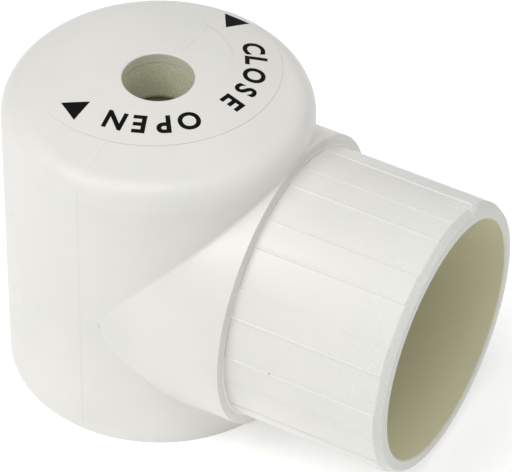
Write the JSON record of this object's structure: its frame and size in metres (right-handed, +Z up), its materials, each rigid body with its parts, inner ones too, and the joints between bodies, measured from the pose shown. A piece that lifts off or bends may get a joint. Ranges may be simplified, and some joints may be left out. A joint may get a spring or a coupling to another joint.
{
  "type": "diaphragm valve",
  "caption": "Compact angle-pattern plastic diaphragm valve: upright body with a domed crown and drive hole, side outlet spigot, socket inlet underneath.",
  "frame": {"origin": "centre of the inlet socket's mouth, in the plane of the base", "axes": "+Z up along the spindle, +X out along the outlet spigot"},
  "size_m": [0.0844, 0.0542, 0.0616],
  "materials": {
    "body_pvc": "satin moulded, warm white",
    "spigot_pvc": "satin with drawn ridges, warm white",
    "clear_film": "clear vinyl film with black print",
    "bonnet_pvc": "satin moulded",
    "spindle_nylon": "spark-textured moulding",
    "bush_acetal": "smooth",
    "seal_rubber": "black O-ring cord",
    "stainless": "turned",
    "compressor_plastic": "glass-filled nylon",
    "nut_brass": "turned",
    "cushion_rubber": "sheet rubber",
    "diaphragm_rubber": "moulded EPDM",
    "clamp_plastic": "glass-filled nylon",
    "seat_plastic": "polished",
    "inlet_pvc": "satin moulded",
    "clip_steel": "spring steel"
  },
  "bodies": {
    "valve": {"valve_body": "body_pvc", "outlet_spigot": "spigot_pvc", "label_film": "clear_film", "bonnet_insert": "bonnet_pvc", "spindle_bush": "bush_acetal", "lower_thrust_washer": "bush_acetal", "upper_thrust_washer": "bush_acetal", "stem_wiper": "seal_rubber", "spindle_seal": "seal_rubber", "guide_pins": "stainless", "diaphragm": "diaphragm_rubber", "clamp_ring": "clamp_plastic", "clamp_screws": "stainless", "clamp_washers": "stainless", "seat_ring": "seat_plastic", "seat_tube": "inlet_pvc", "riser_seal": "seal_rubber", "inlet_base": "inlet_pvc", "base_seal": "seal_rubber", "base_clip": "clip_steel"},
    "spindle": {"drive_spindle": "spindle_nylon"},
    "compressor": {"compressor": "compressor_plastic", "compressor_nut": "nut_brass", "backing_cushion": "cushion_rubber", "diaphragm_stud": "stainless"}
  },
  "joints": [
    {"name": "spindle_turn", "type": "hinge", "parent": "valve", "child": "spindle", "pos_m": [0, 0, 0.05], "axis": [0, 0, 1], "range_deg": [0, 360]},
    {"name": "compressor_lift", "type": "slide", "parent": "valve", "child": "compressor", "axis": [0, 0, -1], "range_m": [0, 0.006], "deforming": ["diaphragm"]}
  ],
  "couplings": [
    {"joint": "compressor_lift", "follows": "spindle_turn", "m_per_rad": 0.00095493}
  ]
}
